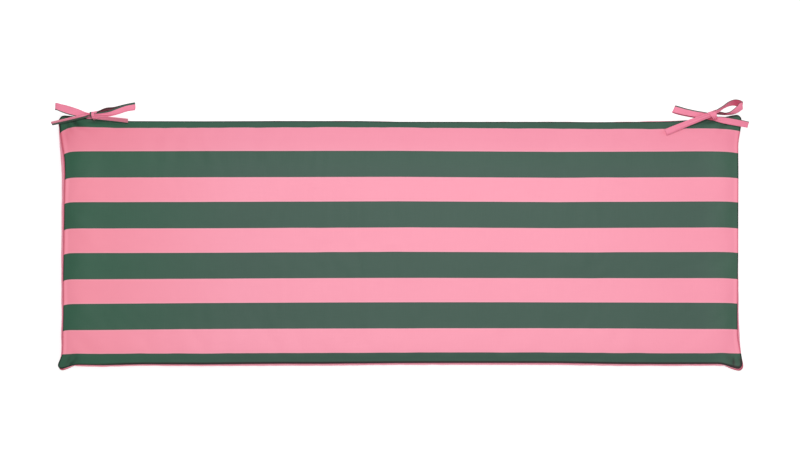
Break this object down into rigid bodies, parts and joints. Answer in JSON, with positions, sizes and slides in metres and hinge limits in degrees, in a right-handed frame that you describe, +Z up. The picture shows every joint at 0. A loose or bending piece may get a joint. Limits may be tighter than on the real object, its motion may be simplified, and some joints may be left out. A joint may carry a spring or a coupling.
{
  "type": "bench cushion",
  "caption": "Long boxed bench cushion in striped cloth, with drawn-in sides, eared corners and cloth ties knotted in a bow at each back corner.",
  "frame": {"origin": "centre of the underside, on the surface the cushion lies on", "axes": "+X along the length to the right end, +Y to the back where the ties are, +Z up from the underside"},
  "size_m": [1.2229, 0.4751, 0.0596],
  "materials": {
    "striped_cloth": "plain-woven cotton with stripes of pink and dark green along the length, and plain pink boxing",
    "left_tie_cloth": "plain-woven cotton, pink with dark green along one edge",
    "right_tie_cloth": "plain-woven cotton, pink with a narrow dark green edge"
  },
  "bodies": {
    "root": {"cushion": "striped_cloth", "tie_left_a": "left_tie_cloth", "tie_left_b": "left_tie_cloth", "tie_right_a": "right_tie_cloth", "tie_right_b": "right_tie_cloth"}
  },
  "joints": []
}
